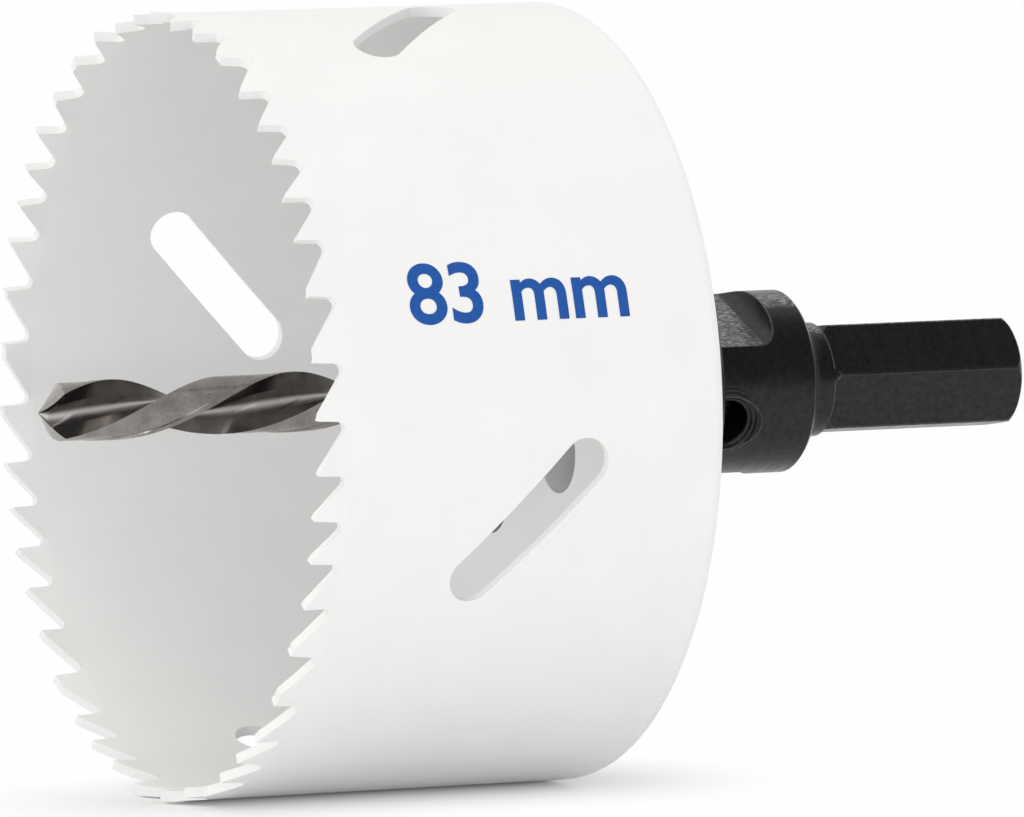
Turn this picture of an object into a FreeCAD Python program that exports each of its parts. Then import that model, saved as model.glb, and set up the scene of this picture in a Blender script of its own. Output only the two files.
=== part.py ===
import FreeCAD, Part
import math
import os
from FreeCAD import Vector

# A bi-metal hole saw with its arbor and pilot drill, lying on its side.
# Millimetres, +Z up. The tool axis is the X axis, the teeth point to -X,
# and the origin is the centre of the shank's end face.
# Angles round the tool are measured from +Y towards +Z.
# The saw is left-hand throughout: drill helix, teeth and core slots.

# Cup
cutting_diameter = 83.0
tooth_set = 0.3
wall_thickness = 1.05
cup_height = 46.35
rear_corner_radius = 1.2

# Teeth: a group of uneven pitches, repeated from the weld round the rim
pitch_group = [6.9, 6.0, 5.6, 4.9, 4.6, 5.05, 6.25]
tooth_count = 46
first_tip_angle = 300.9
set_pattern = [0, 1, -1]  # straight, outwards, inwards, then again
tooth_depth = 3.0
gullet_radius = 0.75
gullet_floor = 0.6
rake_angle = 3.0
primary_relief_angle = 22.0
primary_land = 0.6
secondary_relief_angle = 34.0

# Core slots in the wall
slot_count = 4
slot_length = 21.9
slot_width = 5.1
slot_slant = 46.0
slot_from_teeth = 24.5
first_slot_angle = 13.2
slot_reach_inwards = 8.0

# Backing plate
plate_thickness = 5.0
plate_seat_clearance = 0.03
drive_hole_count = 4
drive_hole_diameter = 8.6
drive_hole_circle_radius = 12.4
drive_hole_angle = 116.0
centre_hole_chamfer = 0.5

# Arbor
nose_diameter = 15.8
nose_clearance = 0.05
nose_reach = 6.0
nose_chamfer = 1.0
body_diameter = 19.5
body_length = 26.4
body_edge_chamfer = 0.3
flats_across = 15.1
flats_length = 22.3
flats_end_fillet = 2.0
flat_angle = 112.0
shank_length = 26.6
shank_across_flats = 11.11
shank_corner_diameter = 12.7
shank_corner_angle = 171.0
shank_end_rounding = 1.3
neck_length = 4.5
neck_step = 0.25
neck_end_radius = 0.9
shoulder_fillet = 2.6

# Set screw that clamps the pilot drill
set_screw_diameter = 5.0
set_screw_clearance = 0.03
set_screw_from_plate = 16.1
set_screw_recess = 4.0
set_screw_key_width = 2.5
set_screw_key_depth = 1.6
set_screw_edge_chamfer = 0.6
countersink_radius = 3.9
countersink_depth = 0.9

# Pilot drill
drill_diameter = 6.35
drill_bore_clearance = 0.05
drill_tip_beyond_teeth = 13.3
drill_depth_in_arbor = 20.5
drill_bore_extra = 1.5
drill_flute_length = 48.0
drill_helix_pitch = 42.0
drill_web = 1.3
drill_land_half_angle = 36.0
drill_point_angle = 118.0
drill_flute_phase = 120.0
drill_flat_length = 9.0
drill_flat_depth = 0.5

# Sliding drive ring
ring_rim_past_pins = 1.125
ring_thickness = 11.6
ring_bore_clearance = 0.08
ring_gap_to_plate = 0.6
ring_edge_chamfer = 0.6
pin_diameter = 6.35
pin_seat_clearance = 0.02
pin_tip_chamfer = 0.6
pin_recess_in_ring = 0.5

# Ball detent that holds the ring where it is put
ball_diameter = 2.6
ball_clearance = 0.05
detent_bore_diameter = 2.8
detent_screw_diameter = 4.0
detent_screw_length = 2.2
detent_screw_recess = 0.4
detent_key_width = 2.0
detent_key_depth = 1.1
spring_wire_diameter = 0.35
spring_turns = 3.0
spring_end_clearance = 0.04
spring_side_clearance = 0.26

# Places along the tool, from the shank's end
shoulder_x = -shank_length
plate_x = shoulder_x - body_length
plate_front_x = plate_x - plate_thickness
teeth_x = plate_x - cup_height
root_x = teeth_x + tooth_depth + gullet_floor
drill_tip_x = teeth_x - drill_tip_beyond_teeth
drill_end_x = plate_x + drill_depth_in_arbor
nose_tip_x = plate_front_x - nose_reach
flats_end_x = plate_x + flats_length
ring_front_x = plate_x + ring_gap_to_plate
ring_rear_x = ring_front_x + ring_thickness
ring_mid_x = 0.5 * (ring_front_x + ring_rear_x)
set_screw_x = plate_x + set_screw_from_plate

# Radii and angles that follow from the sizes above
wall_radius = 0.5 * cutting_diameter - tooth_set
inner_radius = wall_radius - wall_thickness
body_radius = 0.5 * body_diameter
half_flats = 0.5 * flats_across
set_screw_angle = flat_angle + 90.0
detent_angle = flat_angle - 90.0
flat_angles = [flat_angle, flat_angle + 180.0]
pin_angles = [drive_hole_angle, drive_hole_angle + 180.0]
drill_radius = 0.5 * drill_diameter
drill_bore_radius = drill_radius + drill_bore_clearance
ring_radius = drive_hole_circle_radius + 0.5 * pin_diameter + ring_rim_past_pins

# Cutters reach this far past the faces that they cut through
overrun = 1.0
tip_overrun = 0.3
shortest_edge = 0.01

axis_x = Vector(1, 0, 0)
origin = Vector(0, 0, 0)


def turned(points):
    """A solid of revolution about the tool axis, from (x, radius) points."""
    corners = [Vector(x, r, 0) for x, r in points]
    face = Part.Face(Part.makePolygon(corners + [corners[0]]))
    return face.revolve(origin, axis_x, 360)


def rod(x_start, x_end, radius):
    return Part.makeCylinder(radius, x_end - x_start, Vector(x_start, 0, 0), axis_x)


def radial_direction(angle):
    a = math.radians(angle)
    return Vector(0, math.cos(a), math.sin(a))


def radial_rod(x, angle, r_inner, r_outer, radius):
    direction = radial_direction(angle)
    start = Vector(x, 0, 0) + direction * r_inner
    return Part.makeCylinder(radius, r_outer - r_inner, start, direction)


def turn_about_axis(shape, angle):
    copy = shape.copy()
    copy.rotate(origin, axis_x, angle)
    return copy


def hexagon_bar(across, length, start, direction, corner_angle=0.0):
    """A hexagonal bar along direction; its first corner is at corner_angle."""
    corner_radius = across / math.sqrt(3)
    corners = []
    for k in range(7):
        a = math.radians(corner_angle + 60 * k)
        corners.append(Vector(corner_radius * math.cos(a), corner_radius * math.sin(a), 0))
    bar = Part.Face(Part.makePolygon(corners)).extrude(Vector(0, 0, length))
    bar.Placement = FreeCAD.Placement(start, FreeCAD.Rotation(Vector(0, 0, 1), direction))
    return bar


def tip_angles():
    """Angle of each tooth tip, and the angle of one past the last."""
    pitches = [pitch_group[k % len(pitch_group)] for k in range(tooth_count)]
    angles = [first_tip_angle]
    for pitch in pitches:
        angles.append(angles[-1] + 360.0 * pitch / sum(pitches))
    return angles


def tooth_blank(angle_from, angle_to, lean):
    """A sector of the toothed rim that leans outwards by lean at the tips."""
    corners = [
        Vector(root_x, inner_radius, 0),
        Vector(root_x, wall_radius, 0),
        Vector(teeth_x, wall_radius + lean, 0),
        Vector(teeth_x, inner_radius + lean, 0),
    ]
    face = Part.Face(Part.makePolygon(corners + [corners[0]]))
    return turn_about_axis(face.revolve(origin, axis_x, angle_to - angle_from), angle_from)


def gullet_middle():
    """How far round the rim the gullet's centre is from its tooth's tip."""
    rake = math.tan(math.radians(rake_angle))
    return rake * (tooth_depth - gullet_radius) + gullet_radius


def gullet_outline(pitch):
    """The gap from one tooth's rake face to the back of the next tooth."""
    rake = math.tan(math.radians(rake_angle))
    primary = math.tan(math.radians(primary_relief_angle))
    secondary = math.tan(math.radians(secondary_relief_angle))

    def place(depth, along):
        return Vector(teeth_x + depth, 0, along - 0.5 * pitch)

    def on_gullet(angle):
        a = math.radians(angle)
        depth = tooth_depth - gullet_radius + gullet_radius * math.cos(a)
        return place(depth, gullet_middle() + gullet_radius * math.sin(a))

    rake_foot = on_gullet(-90.0)
    leave = on_gullet(secondary_relief_angle)
    knee = place(primary_land * primary, pitch - primary_land)
    back_reach = (leave.x - knee.x) / secondary
    corners = [
        Vector(knee.x, 0, min(knee.z, leave.z + back_reach)),
        knee,
        place(-tip_overrun * primary, pitch + tip_overrun),
        place(-overrun, pitch + tip_overrun),
        place(-overrun, -rake * overrun),
        rake_foot,
    ]
    edges = [Part.Arc(rake_foot, on_gullet(0.0), leave).toShape()]
    last = leave
    for corner in corners:
        if (corner - last).Length > shortest_edge:
            edges.append(Part.LineSegment(last, corner).toShape())
            last = corner
    return Part.Wire(edges)


def gullet_cutter(angle_from, angle_to):
    pitch = math.radians(angle_to - angle_from) * wall_radius
    face = Part.Face(gullet_outline(pitch))
    face.translate(Vector(0, inner_radius - tooth_set - overrun, 0))
    depth = wall_thickness + 2 * tooth_set + 2 * overrun
    return turn_about_axis(face.extrude(Vector(0, depth, 0)), 0.5 * (angle_from + angle_to))


def gap_split(angle_from):
    """The angle over the gullet behind a tooth, where two sectors meet."""
    return angle_from + math.degrees(gullet_middle() / wall_radius)


def slot_cutter(angle):
    """A slanted round-ended slot, cut through the wall."""
    half = 0.5 * (slot_length - slot_width)
    radius = 0.5 * slot_width
    y_start = inner_radius - slot_reach_inwards
    depth = wall_radius + overrun - y_start
    centre = Vector(teeth_x + slot_from_teeth, y_start, 0)
    bar = Part.makeBox(2 * half, depth, slot_width, centre - Vector(half, 0, radius))
    ends = []
    for side in (-1, 1):
        base = centre + Vector(side * half, 0, 0)
        ends.append(Part.makeCylinder(radius, depth, base, Vector(0, 1, 0)))
    cutter = bar.fuse(ends)
    cutter.rotate(centre, Vector(0, 1, 0), slot_slant)
    return turn_about_axis(cutter, angle)


def make_tooth(tips, k):
    """One tooth with the halves of the gaps on both sides of it."""
    lean = tooth_set * set_pattern[k % len(set_pattern)]
    before = tips[k - 1] if k else tips[-2] - 360.0
    here = tips[k]
    after = tips[k + 1]
    blank = tooth_blank(gap_split(before), gap_split(here), lean)
    return blank.cut(gullet_cutter(before, here)).cut(gullet_cutter(here, after))


def plain_wall():
    """The rolled wall behind the teeth, rounded at its rear corner."""
    ring = rod(root_x, plate_x, wall_radius)
    rear = [e for e in ring.Edges if e.Closed and e.BoundBox.XMin > plate_x - shortest_edge]
    ring = ring.makeFillet(rear_corner_radius, rear)
    return ring.cut(rod(root_x - overrun, plate_x + overrun, inner_radius))


def make_cup_wall():
    tips = tip_angles()
    teeth = [make_tooth(tips, k) for k in range(len(tips) - 1)]
    wall = plain_wall().multiFuse(teeth)
    slots = [slot_cutter(first_slot_angle + 360.0 * k / slot_count) for k in range(slot_count)]
    return wall.cut(slots).removeSplitter()


def make_back_plate():
    radius = inner_radius - plate_seat_clearance
    hole_radius = 0.5 * nose_diameter + nose_clearance
    c = centre_hole_chamfer
    plate = turned([
        (plate_front_x, hole_radius + c),
        (plate_front_x, radius),
        (plate_x, radius),
        (plate_x, hole_radius + c),
        (plate_x - c, hole_radius),
        (plate_front_x + c, hole_radius),
    ])
    holes = []
    for k in range(drive_hole_count):
        direction = radial_direction(drive_hole_angle + 360.0 * k / drive_hole_count)
        start = Vector(plate_front_x - overrun, 0, 0) + direction * drive_hole_circle_radius
        length = plate_thickness + 2 * overrun
        holes.append(Part.makeCylinder(0.5 * drive_hole_diameter, length, start, axis_x))
    return plate.cut(Part.makeCompound(holes))


def profile_arc(x, r, radius, angle_from, angle_to):
    """Start, middle and end of an arc, by angles turned from outwards to +X."""
    points = []
    for angle in (angle_from, 0.5 * (angle_from + angle_to), angle_to):
        a = math.radians(angle)
        points.append(Vector(x + radius * math.sin(a), r + radius * math.cos(a), 0))
    return points


def closed_outline(pieces):
    """A wire through arcs of three points and single corners, joined by lines."""
    edges = []
    last = pieces[-1][-1]
    for piece in pieces:
        if (piece[0] - last).Length > shortest_edge:
            edges.append(Part.LineSegment(last, piece[0]).toShape())
        if len(piece) == 3:
            edges.append(Part.Arc(*piece).toShape())
        last = piece[-1]
    return Part.Wire(edges)


def shank_hexagon(start, length):
    """A hexagonal bar with one of its corners at shank_corner_angle."""
    bar = hexagon_bar(shank_across_flats, length, Vector(start, 0, 0), axis_x)
    corner = max(bar.Vertexes, key=lambda v: v.Point.y).Point
    now = math.degrees(math.atan2(corner.z, corner.y))
    return turn_about_axis(bar, shank_corner_angle - now)


def shank_solid():
    """A fillet at the body's end face, a short round neck and the hexagon."""
    corner_radius = 0.5 * shank_corner_diameter
    neck_radius = corner_radius - neck_step
    rise = math.acos(1 - neck_step / neck_end_radius)
    neck_end = shoulder_x + neck_length - neck_end_radius * math.sin(rise)
    f = shoulder_fillet
    e = shank_end_rounding
    shank = Part.Face(closed_outline([
        profile_arc(shoulder_x + f, neck_radius + f, f, 270, 180),
        profile_arc(neck_end, neck_radius + neck_end_radius, neck_end_radius, 180, 180 - math.degrees(rise)),
        profile_arc(-e, corner_radius - e, e, 0, 90),
        [Vector(0, 0, 0)],
        [Vector(shoulder_x, 0, 0)],
    ])).revolve(origin, axis_x, 360)
    outside = rod(neck_end, overrun, 2 * corner_radius)
    return shank.cut(outside.cut(shank_hexagon(neck_end - overrun, shank_length + 2 * overrun)))


def flat_cutter(angle):
    """Everything beyond one flat of the body and nose."""
    reach = body_radius + overrun
    start = nose_tip_x - overrun
    corner = Vector(start, half_flats, -reach)
    box = Part.makeBox(flats_end_x - start, reach - half_flats, 2 * reach, corner)
    edge = Vector(flats_end_x, half_flats, 0)
    foot = [e for e in box.Edges if e.distToShape(Part.Vertex(edge))[0] < shortest_edge]
    return turn_about_axis(box.makeFillet(flats_end_fillet, foot), angle)


def drill_bore():
    end = drill_end_x + drill_bore_extra
    cone = drill_bore_radius / math.tan(math.radians(0.5 * drill_point_angle))
    return turned([
        (nose_tip_x - overrun, 0),
        (nose_tip_x - overrun, drill_bore_radius),
        (end, drill_bore_radius),
        (end + cone, 0),
    ])


def make_arbor_body():
    c = nose_chamfer
    nose_radius = 0.5 * nose_diameter
    e = body_edge_chamfer
    stem = turned([
        (nose_tip_x, 0),
        (nose_tip_x, nose_radius - c),
        (nose_tip_x + c, nose_radius),
        (plate_x, nose_radius),
        (plate_x, body_radius - e),
        (plate_x + e, body_radius),
        (shoulder_x - e, body_radius),
        (shoulder_x, body_radius - e),
        (shoulder_x, 0),
    ])
    body = stem.fuse(shank_solid()).removeSplitter()
    for angle in flat_angles:
        body = body.cut(flat_cutter(angle))
    body = body.cut(drill_bore())
    hole_radius = 0.5 * set_screw_diameter + set_screw_clearance
    outside = body_radius + overrun
    screw_hole = radial_rod(set_screw_x, set_screw_angle, 0, outside, hole_radius)
    outwards = radial_direction(set_screw_angle)
    foot = Vector(set_screw_x, 0, 0) + outwards * (body_radius - countersink_depth)
    slope = (countersink_radius - hole_radius) / countersink_depth
    height = countersink_depth + overrun
    countersink = Part.makeCone(hole_radius, hole_radius + slope * height, height, foot, outwards)
    return body.cut(screw_hole).cut(countersink)


def make_set_screw():
    """A grub screw on the drill's flat, well down in its hole."""
    inner = drill_radius - drill_flat_depth
    outer = body_radius - set_screw_recess
    screw = radial_rod(set_screw_x, set_screw_angle, inner, outer, 0.5 * set_screw_diameter)
    screw = screw.makeChamfer(set_screw_edge_chamfer, [e for e in screw.Edges if e.Closed])
    direction = radial_direction(set_screw_angle)
    key_start = Vector(set_screw_x, 0, 0) + direction * (outer - set_screw_key_depth)
    key = hexagon_bar(set_screw_key_width, set_screw_key_depth + overrun, key_start, direction)
    return screw.cut(key)


def drill_section():
    """Two lands and two hollow flutes, as one closed wire across the axis."""
    a = math.radians(drill_land_half_angle)
    r = drill_radius
    half_web = 0.5 * drill_web

    def at(angle, radius):
        return Vector(0, radius * math.cos(angle), radius * math.sin(angle))

    edges = []
    for side in (0, math.pi):
        land_start = at(side - a, r)
        land_end = at(side + a, r)
        next_land = at(side + math.pi - a, r)
        edges.append(Part.Arc(land_start, at(side, r), land_end).toShape())
        edges.append(Part.Arc(land_end, at(side + 0.5 * math.pi, half_web), next_land).toShape())
    return Part.Wire(edges)


def fluted_length():
    """The twisted part of the drill, before its point is ground."""
    start = Vector(drill_tip_x, 0, 0)
    spine = Part.Wire(Part.LineSegment(start, start + axis_x * drill_flute_length).toShape())
    helix = Part.makeHelix(drill_helix_pitch, drill_flute_length, drill_radius, 0, True)
    helix.Placement = FreeCAD.Placement(start, FreeCAD.Rotation(Vector(0, 0, 1), axis_x))
    section = drill_section()
    section.translate(start)
    section.rotate(start, axis_x, drill_flute_phase)
    sweep = Part.BRepOffsetAPI.MakePipeShell(spine)
    sweep.setAuxiliarySpine(Part.Wire(helix.Edges), True, 0)
    sweep.add(section, False, False)
    sweep.build()
    sweep.makeSolid()
    return sweep.shape()


def make_pilot_drill():
    cone = drill_radius / math.tan(math.radians(0.5 * drill_point_angle))
    flute_end = drill_tip_x + drill_flute_length
    c = 0.5 * drill_flat_depth
    shank = turned([
        (flute_end - overrun, 0),
        (flute_end - overrun, 0.5 * drill_web),
        (flute_end, drill_radius),
        (drill_end_x - c, drill_radius),
        (drill_end_x, drill_radius - c),
        (drill_end_x, 0),
    ])
    point = turned([
        (drill_tip_x, 0),
        (drill_tip_x + cone, drill_radius),
        (flute_end + overrun, drill_radius),
        (flute_end + overrun, 0),
    ])
    drill = fluted_length().common(point).fuse(shank)
    corner = Vector(drill_end_x - drill_flat_length, drill_radius - drill_flat_depth, -drill_diameter)
    flat = Part.makeBox(drill_flat_length + overrun, drill_diameter, 2 * drill_diameter, corner)
    return drill.cut(turn_about_axis(flat, set_screw_angle))


def ring_bore():
    """A round bore with two flats, which run along the body's flats."""
    start = ring_front_x - overrun
    length = ring_thickness + 2 * overrun
    bore = rod(start, start + length, body_radius + ring_bore_clearance)
    corner = Vector(start, half_flats + ring_bore_clearance, -body_diameter)
    land = Part.makeBox(length, body_diameter, 2 * body_diameter, corner)
    for angle in flat_angles:
        bore = bore.cut(turn_about_axis(land, angle))
    return bore


def make_drive_ring():
    c = ring_edge_chamfer
    outer = ring_radius
    ring = turned([
        (ring_front_x, 0),
        (ring_front_x, outer - c),
        (ring_front_x + c, outer),
        (ring_rear_x - c, outer),
        (ring_rear_x, outer - c),
        (ring_rear_x, 0),
    ])
    ring = ring.cut(ring_bore())
    length = ring_thickness + 2 * overrun
    for angle in pin_angles:
        direction = radial_direction(angle)
        start = Vector(ring_front_x - overrun, 0, 0) + direction * drive_hole_circle_radius
        radius = 0.5 * pin_diameter + pin_seat_clearance
        ring = ring.cut(Part.makeCylinder(radius, length, start, axis_x))
    outside = outer + overrun
    ball_radius = 0.5 * detent_bore_diameter
    ball_bore = radial_rod(ring_mid_x, detent_angle, half_flats, outside, ball_radius)
    seat_radius = 0.5 * detent_screw_diameter + set_screw_clearance
    seat = radial_rod(ring_mid_x, detent_angle, detent_screw_inner(), outside, seat_radius)
    return ring.cut(ball_bore).cut(seat)


def make_drive_pin(angle):
    start = Vector(plate_front_x, 0, 0) + radial_direction(angle) * drive_hole_circle_radius
    length = ring_rear_x - pin_recess_in_ring - plate_front_x
    pin = Part.makeCylinder(0.5 * pin_diameter, length, start, axis_x)
    return pin.makeChamfer(pin_tip_chamfer, [e for e in pin.Edges if e.Closed])


def detent_screw_inner():
    return ring_radius - detent_screw_recess - detent_screw_length


def ball_centre_radius():
    return body_radius + ball_clearance + 0.5 * ball_diameter


def make_detent_ball():
    centre = Vector(ring_mid_x, 0, 0) + radial_direction(detent_angle) * ball_centre_radius()
    return Part.makeSphere(0.5 * ball_diameter, centre)


def make_detent_spring():
    """A short coil between the ball and its screw."""
    wire = 0.5 * spring_wire_diameter
    coil = 0.5 * detent_bore_diameter - wire - spring_side_clearance
    ball_radius = 0.5 * ball_diameter
    # the end coil rests on the ball a little below its top
    seat = math.sqrt((ball_radius + wire) ** 2 - coil ** 2)
    low = ball_centre_radius() + seat + spring_end_clearance
    high = detent_screw_inner() - wire - spring_end_clearance
    height = high - low
    helix = Part.makeHelix(height / spring_turns, height, coil, 0, True)
    path = Part.Wire(helix.Edges)
    circle = Part.Circle(Vector(coil, 0, 0), Vector(0, 1, 0), wire)
    spring = path.makePipeShell([Part.Wire(circle.toShape())], True, True)
    direction = radial_direction(detent_angle)
    start = Vector(ring_mid_x, 0, 0) + direction * low
    spring.Placement = FreeCAD.Placement(start, FreeCAD.Rotation(Vector(0, 0, 1), direction))
    return spring


def make_detent_screw():
    inner = detent_screw_inner()
    outer = inner + detent_screw_length
    screw = radial_rod(ring_mid_x, detent_angle, inner, outer, 0.5 * detent_screw_diameter)
    direction = radial_direction(detent_angle)
    key_start = Vector(ring_mid_x, 0, 0) + direction * (outer - detent_key_depth)
    key = hexagon_bar(detent_key_width, detent_key_depth + overrun, key_start, direction)
    return screw.cut(key)


def write(node, shape):
    solids = shape.Solids
    if len(solids) == 1:
        shape = solids[0]
    print(node, "solids", len(solids), "valid", shape.isValid(), "faces", len(shape.Faces),
          "volume", round(shape.Volume, 2))
    shape.exportStep("parts/" + node + ".step")


os.makedirs("parts", exist_ok=True)
write("cup_wall", make_cup_wall())
write("back_plate", make_back_plate())
write("arbor_body", make_arbor_body())
write("pilot_set_screw", make_set_screw())
write("pilot_drill", make_pilot_drill())
write("drive_ring", make_drive_ring())
write("drive_pin_upper", make_drive_pin(pin_angles[0]))
write("drive_pin_lower", make_drive_pin(pin_angles[1]))
write("detent_ball", make_detent_ball())
write("detent_spring", make_detent_spring())
write("detent_screw", make_detent_screw())
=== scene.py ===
import math

import bmesh
import bpy
from mathutils import Matrix, Vector


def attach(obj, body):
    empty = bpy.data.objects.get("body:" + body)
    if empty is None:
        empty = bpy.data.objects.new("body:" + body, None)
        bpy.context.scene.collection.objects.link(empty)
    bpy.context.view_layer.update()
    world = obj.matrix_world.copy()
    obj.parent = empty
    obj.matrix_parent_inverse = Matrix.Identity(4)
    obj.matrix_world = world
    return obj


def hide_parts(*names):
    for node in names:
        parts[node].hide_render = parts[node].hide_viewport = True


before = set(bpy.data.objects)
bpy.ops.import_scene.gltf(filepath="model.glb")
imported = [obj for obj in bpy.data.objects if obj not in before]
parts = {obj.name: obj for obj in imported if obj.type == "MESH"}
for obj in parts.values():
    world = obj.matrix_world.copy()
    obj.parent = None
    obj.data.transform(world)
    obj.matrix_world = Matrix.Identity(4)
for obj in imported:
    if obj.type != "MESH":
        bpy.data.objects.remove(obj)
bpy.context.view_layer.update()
print("hole saw: frame loaded")

# lengths are in millimetres in the dictionaries, and in metres in the scene
mm = 0.001


# camera, at the photograph's angle

camera = {
    "azimuth": -25.4,
    "elevation": 5.33,
    "distance": 1483.2,
    "aimX": -53.0,        # the rear face of the cup
    "shiftRight": -4.52,
    "shiftUp": -1.915,
    "lens": 492.07,
    "sensor": 36.0,
}


def placeCamera():
    a = math.radians(camera["azimuth"])
    e = math.radians(camera["elevation"])
    back = Vector((math.sin(a) * math.cos(e), -math.cos(a) * math.cos(e), math.sin(e)))
    right = Vector((math.cos(a), math.sin(a), 0))
    up = back.cross(right)
    data = bpy.data.cameras.new("camera")
    data.lens = camera["lens"]
    data.sensor_width = camera["sensor"]
    data.clip_start = 0.01
    data.clip_end = 60
    obj = bpy.data.objects.new("camera", data)
    bpy.context.scene.collection.objects.link(obj)
    place = Vector((camera["aimX"], 0, 0)) + back * camera["distance"]
    place += right * camera["shiftRight"] + up * camera["shiftUp"]
    obj.location = place * mm
    obj.rotation_mode = "QUATERNION"
    obj.rotation_quaternion = Matrix((right, up, back)).transposed().to_quaternion()
    bpy.context.scene.camera = obj


placeCamera()
print("hole saw: camera placed")


# small helpers for materials and meshes

def addNode(owner, kind, values=None, links=None, **settings):
    # owner is a material or the world; values and links go to the node's inputs, by name or number
    node = owner.node_tree.nodes.new("ShaderNode" + kind)
    for key, value in settings.items():
        setattr(node, key, value)
    for key, value in (values or {}).items():
        node.inputs[key].default_value = value
    for key, socket in (links or {}).items():
        owner.node_tree.links.new(socket, node.inputs[key])
    return node


def emptyMaterial(name):
    material = bpy.data.materials.new(name)
    material.use_nodes = True
    material.node_tree.nodes.clear()
    return material


def newMaterial(name):
    material = emptyMaterial(name)
    shader = addNode(material, "BsdfPrincipled")
    addNode(material, "OutputMaterial", None, {"Surface": shader.outputs["BSDF"]})
    return material, shader


def link(material, fromSocket, toSocket):
    material.node_tree.links.new(fromSocket, toSocket)


def objectPlace(material, scale=(1, 1, 1)):
    # the place on the object in millimetres, stretched by scale
    coord = addNode(material, "TexCoord")
    size = tuple(s / mm for s in scale)
    mapped = addNode(material, "Mapping", {"Scale": size}, {"Vector": coord.outputs["Object"]})
    return mapped.outputs["Vector"]


def noiseAt(material, place, scale, detail=3.0, roughness=0.55):
    values = {"Scale": scale, "Detail": detail, "Roughness": roughness}
    return addNode(material, "TexNoise", values, {"Vector": place}).outputs["Fac"]


def spread(owner, socket, low, high, fromLow=0.3, fromHigh=0.7, **settings):
    values = {"From Min": fromLow, "From Max": fromHigh, "To Min": low, "To Max": high}
    return addNode(owner, "MapRange", values, {"Value": socket}, **settings).outputs["Result"]


def blendColours(material, factor, colourA, colourB):
    node = addNode(material, "Mix", {6: (*colourA, 1), 7: (*colourB, 1)}, {0: factor}, data_type="RGBA")
    return node.outputs[2]


def bumpFrom(material, height, strength, distance, normal=None):
    links = {"Height": height}
    if normal is not None:
        links["Normal"] = normal
    node = addNode(material, "Bump", {"Strength": strength, "Distance": distance * mm}, links)
    return node.outputs["Normal"]


def meshObject(name, points, faces, smooth=True):
    mesh = bpy.data.meshes.new(name)
    mesh.from_pydata([Vector(p) * mm for p in points], [], faces)
    mesh.validate()
    mesh.update()
    for face in mesh.polygons:
        face.use_smooth = smooth
    obj = bpy.data.objects.new(name, mesh)
    bpy.context.scene.collection.objects.link(obj)
    return obj


def paint(obj, material):
    obj.data.materials.clear()
    obj.data.materials.append(material)


# white enamel on the cup

enamel = {
    "light": (0.885, 0.882, 0.878),
    "dull": (0.86, 0.857, 0.853),
    "orangePeel": 0.012,   # depth of the sprayed texture
    "cloudScale": 0.12,
    "speckScale": 1.3,
    "roughness": (0.36, 0.52),
    "specular": 0.45,
}


def whiteEnamel():
    material, shader = newMaterial("white_enamel")
    place = objectPlace(material)
    clouds = noiseAt(material, place, enamel["cloudScale"], 4)
    link(material, blendColours(material, spread(material, clouds, 0, 1), enamel["light"], enamel["dull"]),
         shader.inputs["Base Color"])
    specks = noiseAt(material, place, enamel["speckScale"], 3)
    link(material, spread(material, specks, *enamel["roughness"]), shader.inputs["Roughness"])
    link(material, bumpFrom(material, specks, 0.5, enamel["orangePeel"]), shader.inputs["Normal"])
    shader.inputs["Specular IOR Level"].default_value = enamel["specular"]
    return material


# black oxide on the arbor and the drive ring

oxide = {
    "dark": (0.022, 0.022, 0.022),
    "grey": (0.038, 0.037, 0.037),
    # edge colour: partly wear on the edges, partly a painted highlight along them
    "edge": (0.20, 0.195, 0.19),
    "milled": (0.30, 0.295, 0.30),     # grains lighter on the two milled flats: partly machining marks, partly a painted highlight
    "milledDark": (0.05, 0.05, 0.052),
    "flatAngle": 112.0,
    "screwX": -36.9,       # the set screw's hole, with turning marks in its countersink
    "screwAngle": 202.0,
    "marksReach": 4.4,
    "marksApart": 0.42,
    "marksDepth": 0.02,
    "edgeRounding": 0.25,
    "ringsScale": (3.2, 0.12, 0.12),    # lathe marks run round the tool
    "ringsDepth": 0.012,
    "speckScale": 1.6,
    "speckDepth": 0.01,
    "grainScale": (1.6, 4.0, 4.0),
    "metallic": 0.85,
    "roughness": (0.24, 0.4),
    "screwMetallic": 0.9,
    "screwRoughness": (0.25, 0.42),
}


def onFlats(material):
    # 1 where the surface faces as the two milled flats do
    coord = addNode(material, "TexCoord")
    a = math.radians(oxide["flatAngle"])
    turn = addNode(material, "VectorMath", {1: (0, math.cos(a), math.sin(a))}, {0: coord.outputs["Normal"]},
                   operation="DOT_PRODUCT")
    either = addNode(material, "Math", None, {0: turn.outputs["Value"]}, operation="ABSOLUTE")
    return spread(material, either.outputs[0], 0, 1, 0.985, 0.995)


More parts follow.
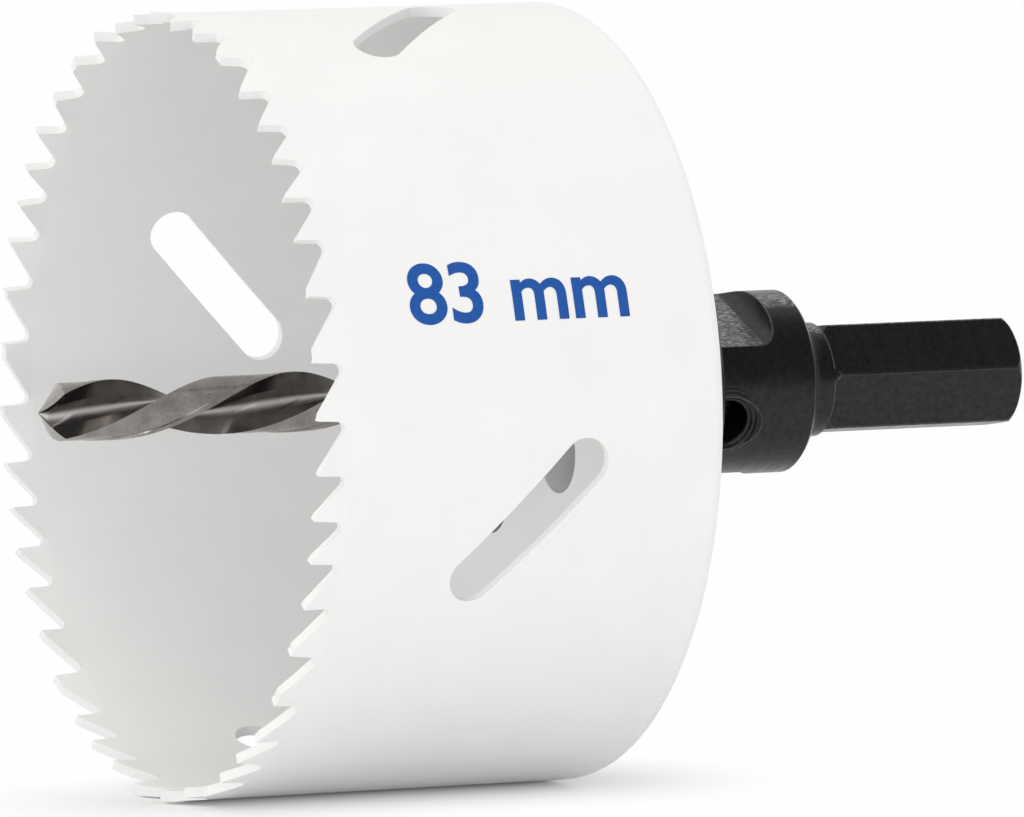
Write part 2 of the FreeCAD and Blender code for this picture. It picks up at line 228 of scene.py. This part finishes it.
def turningMarks(material):
    # rings round the set screw's hole
    coord = addNode(material, "TexCoord")
    a = math.radians(oxide["screwAngle"])
    away = addNode(material, "VectorMath", {1: (oxide["screwX"] * mm, 0, 0)}, {0: coord.outputs["Object"]},
                   operation="SUBTRACT")
    across = addNode(material, "VectorMath", {1: (0, -math.sin(a), math.cos(a))}, {0: away.outputs[0]},
                     operation="DOT_PRODUCT")
    along = addNode(material, "SeparateXYZ", None, {0: away.outputs[0]})
    flat = addNode(material, "CombineXYZ", None, {0: along.outputs["X"], 1: across.outputs["Value"]})
    radius = addNode(material, "VectorMath", None, {0: flat.outputs[0]}, operation="LENGTH")
    turns = addNode(material, "Math", {1: 2 * math.pi / (oxide["marksApart"] * mm)},
                    {0: radius.outputs["Value"]}, operation="MULTIPLY")
    wave = addNode(material, "Math", None, {0: turns.outputs[0]}, operation="SINE")
    reach = oxide["marksReach"] * mm
    near = spread(material, radius.outputs["Value"], 1, 0, 0.8 * reach, reach)
    depth = addNode(material, "VectorMath", {1: (0, math.cos(a), math.sin(a))}, {0: away.outputs[0]},
                    operation="DOT_PRODUCT")
    side = spread(material, depth.outputs["Value"], 0, 1, 0, reach)
    shown = addNode(material, "Math", None, {0: near, 1: side}, operation="MULTIPLY")
    return addNode(material, "Math", None, {0: wave.outputs[0], 1: shown.outputs[0]},
                   operation="MULTIPLY").outputs[0]


def blackOxide():
    material, shader = newMaterial("black_oxide")
    place = objectPlace(material)
    rings = noiseAt(material, objectPlace(material, oxide["ringsScale"]), 1.0, 3)
    specks = noiseAt(material, place, oxide["speckScale"], 4)
    body = blendColours(material, spread(material, specks, 0, 1), oxide["dark"], oxide["grey"])
    rounded = addNode(material, "Bevel", {"Radius": oxide["edgeRounding"] * mm}, samples=4)
    flat = addNode(material, "NewGeometry")
    turn = addNode(material, "VectorMath", None,
                   {0: rounded.outputs["Normal"], 1: flat.outputs["Normal"]}, operation="DOT_PRODUCT")
    # edges lighter: partly edge wear, partly a painted highlight
    wornAndHighlitEdges = spread(material, turn.outputs["Value"], 1, 0, 0.82, 0.99)
    mixed = addNode(material, "Mix", {7: (*oxide["edge"], 1)}, {0: wornAndHighlitEdges, 6: body}, data_type="RGBA")
    # lighter grains on the milled flats, partly machining marks and partly a painted highlight
    grains = noiseAt(material, objectPlace(material, oxide["grainScale"]), 1.0, 4)
    cuts = spread(material, grains, 0, 1, 0.46, 0.66)
    milled = blendColours(material, cuts, oxide["milledDark"], oxide["milled"])
    coats = addNode(material, "Mix", None, {0: onFlats(material), 6: mixed.outputs[2], 7: milled},
                    data_type="RGBA")
    link(material, coats.outputs[2], shader.inputs["Base Color"])
    shader.inputs["Metallic"].default_value = oxide["metallic"]
    link(material, spread(material, rings, *oxide["roughness"]), shader.inputs["Roughness"])
    marked = bumpFrom(material, turningMarks(material), 0.8, oxide["marksDepth"], rounded.outputs["Normal"])
    fine = bumpFrom(material, specks, 0.35, oxide["speckDepth"], marked)
    link(material, bumpFrom(material, rings, 0.5, oxide["ringsDepth"], fine), shader.inputs["Normal"])
    return material


def blackScrew():
    material, shader = newMaterial("black_screw")
    specks = noiseAt(material, objectPlace(material), 2.5, 3)
    link(material, blendColours(material, spread(material, specks, 0, 1), oxide["dark"], oxide["grey"]),
         shader.inputs["Base Color"])
    shader.inputs["Metallic"].default_value = oxide["screwMetallic"]
    link(material, spread(material, specks, *oxide["screwRoughness"]), shader.inputs["Roughness"])
    return material


# the ball and spring of the detent

steel = {
    "light": (0.62, 0.62, 0.63),
    "dark": (0.5, 0.5, 0.5),
    "roughness": (0.18, 0.32),
}


def bareSteel():
    material, shader = newMaterial("bare_steel")
    grain = noiseAt(material, objectPlace(material, (1, 4, 4)), 1.0, 3)
    link(material, blendColours(material, spread(material, grain, 0, 1), steel["light"], steel["dark"]),
         shader.inputs["Base Color"])
    shader.inputs["Metallic"].default_value = 1
    link(material, spread(material, grain, *steel["roughness"]), shader.inputs["Roughness"])
    return material


# pilot drill

drill = {
    "tipX": -112.65,
    "endX": -32.5,
    "radius": 3.175,
    "fluteLength": 48.0,
    "helixPitch": 42.0,
    "phase": 120.0,        # angle of a land's middle at the tip
    "landHalf": 36.0,
    "webRadius": 0.72,
    "marginWidth": 0.62,
    "marginStep": 0.13,
    "pointAngle": 118.0,
    "lipRelief": 0.55,     # how far the point falls away behind a lip
    "ground": (0.44, 0.425, 0.41),
    "groundDark": (0.30, 0.288, 0.28),
    # the flutes' darker steel is painted shade, for the dark that the bright steel reflects there
    "flute": (0.115, 0.106, 0.102),
    "fluteDark": (0.07, 0.064, 0.062),
    "paintedHighlight": (0.62, 0.60, 0.585),     # painted highlight along each flute, standing in for a reflection
    "paintedHighlightFrom": 0.1,
    "paintedHighlightTurn": 8.0,     # the painted highlight lies to one side of the flute's bottom
    "around": 180,
    "firstStation": 0.02,  # sections along the drill, close together on its point
    "pointStations": 36,
    "pointStep": 0.11,
    "fluteStep": 0.3,
    "shankStep": 1.0,
    "runOut": 9.0,         # the flutes grow shallow over this length
    "endChamfer": 0.25,
    "sharpFrom": 32.0,     # edges that bend more than this are sharp
    "skin": 0.05,          # a face this near the full radius is on a land
    "groundRoughness": (0.2, 0.3),
    "fluteRoughness": (0.16, 0.26),
}


def fluteRadius(turnFromLand):
    # radius of the section at an angle from the nearest land's middle, in degrees
    half = drill["landHalf"]
    r = drill["radius"]
    marginAngle = math.degrees(drill["marginWidth"] / r)
    t = abs(turnFromLand)
    if t <= half:
        if half - turnFromLand < marginAngle:
            return r
        return r - drill["marginStep"]
    # a round hollow through both land corners and the web
    gap = math.radians(90 - half)
    a = math.radians(90 - t)
    deep = drill["webRadius"]
    cornerX = r * math.cos(gap)
    cornerY = r * math.sin(gap)
    centre = (cornerX ** 2 + cornerY ** 2 - deep ** 2) / (2 * (cornerX - deep))
    hollow = centre - deep
    return centre * math.cos(a) - math.sqrt(max(0.0, hollow ** 2 - (centre * math.sin(a)) ** 2))


def pointRadius(x, turn):
    # radius where the ground point passes x, seen at an angle behind its lip
    depth = x - drill["tipX"]
    cone = 1 / math.tan(math.radians(drill["pointAngle"] / 2))
    behind = ((drill["landHalf"] - turn) % 180) / 180
    return depth / (cone + drill["lipRelief"] * behind)


def inFlute(place):
    # true for a place on one of the hollow flutes, before they run out
    along = place.x - drill["tipX"]
    turn = math.degrees(math.atan2(place.z, place.y)) - drill["phase"] + 360 * along / drill["helixPitch"]
    fromLand = abs((turn + 90) % 180 - 90)
    onLand = math.hypot(place.y, place.z) > drill["radius"] - drill["skin"]
    return fromLand > drill["landHalf"] and along < drill["fluteLength"] and not onLand


def drillStations():
    first = drill["tipX"]
    fluteEnd = first + drill["fluteLength"]
    stations = [first + drill["firstStation"] + drill["pointStep"] * k for k in range(drill["pointStations"])]
    while stations[-1] < fluteEnd:
        stations.append(stations[-1] + drill["fluteStep"])
    while stations[-1] < drill["endX"] - drill["shankStep"]:
        stations.append(stations[-1] + drill["shankStep"])
    return stations + [drill["endX"] - drill["endChamfer"], drill["endX"]]


def buildDrill():
    around = drill["around"]
    points = []
    faces = []
    fluteEnd = drill["tipX"] + drill["fluteLength"]
    stations = drillStations()
    for x in stations:
        twist = drill["phase"] - 360 * (x - drill["tipX"]) / drill["helixPitch"]
        for k in range(around):
            turn = 360 * k / around
            fromLand = (turn + 90) % 180 - 90
            r = fluteRadius(fromLand)
            runOut = min(1.0, max(0.0, (x - fluteEnd + drill["runOut"]) / drill["runOut"]))
            r += (drill["radius"] - r) * runOut ** 2
            if x == drill["endX"]:
                r = drill["radius"] - drill["endChamfer"]
            r = min(r, pointRadius(x, turn))
            a = math.radians(turn + twist)
            points.append((x, r * math.cos(a), r * math.sin(a)))
    rows = len(stations)
    for i in range(rows - 1):
        for k in range(around):
            n = (k + 1) % around
            faces.append((i * around + k, (i + 1) * around + k, (i + 1) * around + n, i * around + n))
    points.append((drill["tipX"], 0, 0))
    points.append((drill["endX"], 0, 0))
    tip = len(points) - 2
    end = len(points) - 1
    for k in range(around):
        n = (k + 1) % around
        faces.append((tip, k, n))
        faces.append((end, (rows - 1) * around + n, (rows - 1) * around + k))
    obj = meshObject("pilot_drill_ground", points, faces)
    sharp = obj.modifiers.new("edges", "EDGE_SPLIT")
    sharp.split_angle = math.radians(drill["sharpFrom"])
    bpy.context.view_layer.objects.active = obj
    bpy.ops.object.modifier_apply(modifier="edges")
    paint(obj, drillSteel("drill_ground", drill["ground"], drill["groundDark"], drill["groundRoughness"]))
    # the flutes' steel: darker, as painted shade, with a painted highlight along each flute
    flutes = drillSteel("drill_flutes_painted_shade_and_highlight", drill["flute"], drill["fluteDark"], drill["fluteRoughness"])
    obj.data.materials.append(flutes)
    for face in obj.data.polygons:
        face.material_index = 1 if inFlute(face.center / mm) else 0
    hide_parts("pilot_drill")
    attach(obj, "arbor")
    return obj


def fluteWave(material):
    # -1 along the middle of a land, 1 along the bottom of a flute
    coord = addNode(material, "TexCoord")
    place = addNode(material, "SeparateXYZ", None, {0: coord.outputs["Object"]})
    around = addNode(material, "Math", None, {0: place.outputs["Z"], 1: place.outputs["Y"]},
                     operation="ARCTAN2")
    perMetre = 2 * math.pi / (drill["helixPitch"] * mm)
    start = -math.radians(drill["phase"] + drill["paintedHighlightTurn"]) - perMetre * drill["tipX"] * mm
    twist = addNode(material, "Math", {1: perMetre, 2: start}, {0: place.outputs["X"]},
                    operation="MULTIPLY_ADD")
    turn = addNode(material, "Math", None, {0: around.outputs[0], 1: twist.outputs[0]}, operation="ADD")
    double = addNode(material, "Math", {1: 2.0}, {0: turn.outputs[0]}, operation="MULTIPLY")
    wave = addNode(material, "Math", None, {0: double.outputs[0]}, operation="COSINE")
    return addNode(material, "Math", {1: -1.0}, {0: wave.outputs[0]}, operation="MULTIPLY").outputs[0]


def drillSteel(name, light, dark, roughness):
    material, shader = newMaterial(name)
    place = objectPlace(material)
    clouds = noiseAt(material, place, 0.45, 4)
    specks = noiseAt(material, place, 3.5, 3)
    body = blendColours(material, spread(material, clouds, 0, 1), light, dark)
    if name == "drill_flutes_painted_shade_and_highlight":
        # painted highlight: a bright band along each flute, in place of a reflection
        wave = spread(material, fluteWave(material), 0, 1, drill["paintedHighlightFrom"], 1.0)
        lit = addNode(material, "Math", {1: 2.0}, {0: wave}, operation="POWER").outputs[0]
        mixed = addNode(material, "Mix", {7: (*drill["paintedHighlight"], 1)}, {0: lit, 6: body}, data_type="RGBA")
        body = mixed.outputs[2]
    link(material, body, shader.inputs["Base Color"])
    shader.inputs["Metallic"].default_value = 1
    link(material, spread(material, specks, *roughness), shader.inputs["Roughness"])
    link(material, bumpFrom(material, specks, 0.2, 0.003), shader.inputs["Normal"])
    return material


# the cup's size printed on its side

sizeMark = {
    "text": "83 mm",
    "height": 6.4,
    "radius": 41.225,
    "angle": 160.0,
    "middleX": -75.6,
    "sizePerHeight": 1.4,  # of the font, for a digit of that height
    "thickening": 0.16,
    "slice": 0.3,          # the letters are cut in rows, to follow the round wall
    "ink": (0.0, 0.075, 0.36),
    "inkLight": (0.0, 0.09, 0.40),
    "inkRoughness": (0.35, 0.5),
}


def printInk():
    material, shader = newMaterial("print_ink")
    specks = noiseAt(material, objectPlace(material), 2.2, 3)
    shades = blendColours(material, spread(material, specks, 0, 1), sizeMark["ink"], sizeMark["inkLight"])
    link(material, shades, shader.inputs["Base Color"])
    link(material, spread(material, specks, *sizeMark["inkRoughness"]), shader.inputs["Roughness"])
    return material


def buildSizeMark():
    curve = bpy.data.curves.new("size_text", "FONT")
    curve.body = sizeMark["text"]
    curve.align_x = "CENTER"
    curve.align_y = "CENTER"
    curve.size = sizeMark["height"] * sizeMark["sizePerHeight"]
    curve.offset = sizeMark["thickening"]
    curve.resolution_u = 10
    text = bpy.data.objects.new("size_text", curve)
    bpy.context.scene.collection.objects.link(text)
    mesh = bpy.data.meshes.new_from_object(text)
    bpy.data.objects.remove(text)
    work = bmesh.new()
    work.from_mesh(mesh)
    rows = int(sizeMark["height"] / sizeMark["slice"]) + 2
    for k in range(-rows, rows + 1):
        bmesh.ops.bisect_plane(work, geom=work.verts[:] + work.edges[:] + work.faces[:],
                               plane_co=(0, sizeMark["slice"] * k, 0), plane_no=(0, 1, 0))
    bmesh.ops.triangulate(work, faces=work.faces[:])
    # the text runs along +X, and its height goes round the cup
    for v in work.verts:
        a = math.radians(sizeMark["angle"]) - v.co.y / sizeMark["radius"]
        r = sizeMark["radius"]
        v.co = Vector((sizeMark["middleX"] + v.co.x, r * math.cos(a), r * math.sin(a))) * mm
    work.to_mesh(mesh)
    work.free()
    obj = bpy.data.objects.new("size_mark", mesh)
    bpy.context.scene.collection.objects.link(obj)
    paint(obj, printInk())
    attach(obj, "arbor")
    return obj


# lights and world

studio = {
    "skyLight": 0.86,      # what the object gets from all round
    "ceiling": 0.2,        # what metal shows of the dark ceiling over the camera
    "ceilingFrom": 0.28,   # the sky is white up to here, and dark from ceilingTo on
    "ceilingTo": 0.58,
    "ceilingLean": (-0.10, -0.78, 0.62),
    "aim": (-0.06, 0, 0),
}

lamps = {
    "key": {"place": (-0.30, 0.05, 0.80), "size": (0.7, 0.5), "power": 1.3, "colour": (1.0, 0.92, 0.80)},
    "fill": {"place": (-0.85, -0.45, 0.12), "size": (0.6, 0.5), "power": 1.05, "colour": (0.97, 0.985, 1.0)},
    # long and low in front, for the underside
    "low": {"place": (-0.3, -0.8, 0.02), "size": (0.9, 0.08), "power": 0.85, "colour": (0.97, 0.985, 1.0)},
    # a tall strip behind the shank, for its edges
    "rear": {"place": (0.55, 0.24, 0.05), "size": (0.12, 0.34), "power": 0.14, "colour": (0.97, 0.985, 1.0)},
}


def areaLight(name, lamp):
    data = bpy.data.lights.new(name, "AREA")
    data.shape = "RECTANGLE"
    data.size = lamp["size"][0]
    data.size_y = lamp["size"][1]
    data.energy = lamp["power"]
    data.color = lamp["colour"]
    obj = bpy.data.objects.new(name, data)
    bpy.context.scene.collection.objects.link(obj)
    obj.location = lamp["place"]
    obj.rotation_mode = "QUATERNION"
    towards = Vector(studio["aim"]) - Vector(lamp["place"])
    obj.rotation_quaternion = towards.to_track_quat("-Z", "Y")


def seenDirectly(owner):
    # 1 where the camera, a reflection or a refraction looks at the surface
    path = addNode(owner, "LightPath")
    seen = path.outputs["Is Camera Ray"]
    for ray in ("Is Glossy Ray", "Is Transmission Ray"):
        seen = addNode(owner, "Math", None, {0: seen, 1: path.outputs[ray]}, operation="MAXIMUM").outputs[0]
    return seen


def ceilingShade(owner):
    # white all round, with a dark ceiling above and behind the photographer
    coord = addNode(owner, "TexCoord")
    lean = addNode(owner, "VectorMath", {1: studio["ceilingLean"]}, {0: coord.outputs["Generated"]},
                   operation="DOT_PRODUCT")
    return spread(owner, lean.outputs["Value"], 1, studio["ceiling"],
                  studio["ceilingFrom"], studio["ceilingTo"], interpolation_type="SMOOTHSTEP")


def buildWorld():
    world = bpy.data.worlds.new("studio")
    bpy.context.scene.world = world
    world.use_nodes = True
    world.node_tree.nodes.clear()
    light = addNode(world, "Background", {"Color": (1, 1, 1, 1), "Strength": studio["skyLight"]})
    seen = addNode(world, "Background", {"Color": (1, 1, 1, 1)}, {"Strength": ceilingShade(world)})
    mix = addNode(world, "MixShader", None, {0: seenDirectly(world), 1: light.outputs[0], 2: seen.outputs[0]})
    addNode(world, "OutputWorld", None, {"Surface": mix.outputs[0]})


# the sheet of paper that the cup lies on

paper = {
    "height": -41.5,
    "half": 6000.0,
    "colour": (0.9, 0.9, 0.9),
    "restFrom": -99.0,     # the cup touches the paper from here
    "restTo": -53.6,       # to here, along the tool axis
    "shadowReach": 25.0,   # further out, the paper is seen nearly white
    "shadowCurve": 1.6,
    "whitest": 0.97,
}


def paperWhiteness(owner):
    # 0 beside the line where the cup touches the paper, where its shadow is kept
    coord = addNode(owner, "TexCoord")
    z = paper["height"] * mm
    place = coord.outputs["Object"]
    for operation, end in (("MAXIMUM", paper["restFrom"]), ("MINIMUM", paper["restTo"])):
        held = addNode(owner, "VectorMath", {1: (end * mm, 0, z)}, {0: place}, operation=operation)
        place = held.outputs[0]
    away = addNode(owner, "VectorMath", None, {0: coord.outputs["Object"], 1: place}, operation="DISTANCE")
    near = spread(owner, away.outputs["Value"], 1, 0, 0, paper["shadowReach"] * mm)
    curve = addNode(owner, "Math", {1: paper["shadowCurve"]}, {0: near}, operation="POWER")
    return spread(owner, curve.outputs[0], paper["whitest"], 0, 0, 1)


def buildFloor():
    half = paper["half"]
    z = paper["height"]
    corners = [(-half, -half, z), (half, -half, z), (half, half, z), (-half, half, z)]
    floor = meshObject("floor", corners, [(0, 1, 2, 3)], smooth=False)
    material = emptyMaterial("floor_paper")
    sheet = addNode(material, "BsdfDiffuse", {"Color": (*paper["colour"], 1)})
    glow = addNode(material, "Emission", {"Color": (1, 1, 1, 1)})
    lift = addNode(material, "Math", None, {0: seenDirectly(material), 1: paperWhiteness(material)},
                   operation="MULTIPLY")
    mix = addNode(material, "MixShader", None, {0: lift.outputs[0], 1: sheet.outputs[0], 2: glow.outputs[0]})
    addNode(material, "OutputMaterial", None, {"Surface": mix.outputs[0]})
    paint(floor, material)


def buildStudio():
    buildWorld()
    buildFloor()
    for name, lamp in lamps.items():
        areaLight(name, lamp)


def dressFrame():
    white = whiteEnamel()
    oxideBlack = blackOxide()
    screwBlack = blackScrew()
    bare = bareSteel()
    for name in ("cup_wall", "back_plate"):
        paint(parts[name], white)
    for name in ("arbor_body", "drive_ring"):
        paint(parts[name], oxideBlack)
    for name in ("pilot_set_screw", "drive_pin_upper", "drive_pin_lower", "detent_screw"):
        paint(parts[name], screwBlack)
    for name in ("detent_ball", "detent_spring"):
        paint(parts[name], bare)


dressFrame()
print("hole saw: frame painted")
buildDrill()
print("hole saw: pilot drill built")
buildSizeMark()
print("hole saw: size mark printed")
buildStudio()
print("hole saw: studio lit")

bpy.context.scene.view_settings.view_transform = "Standard"
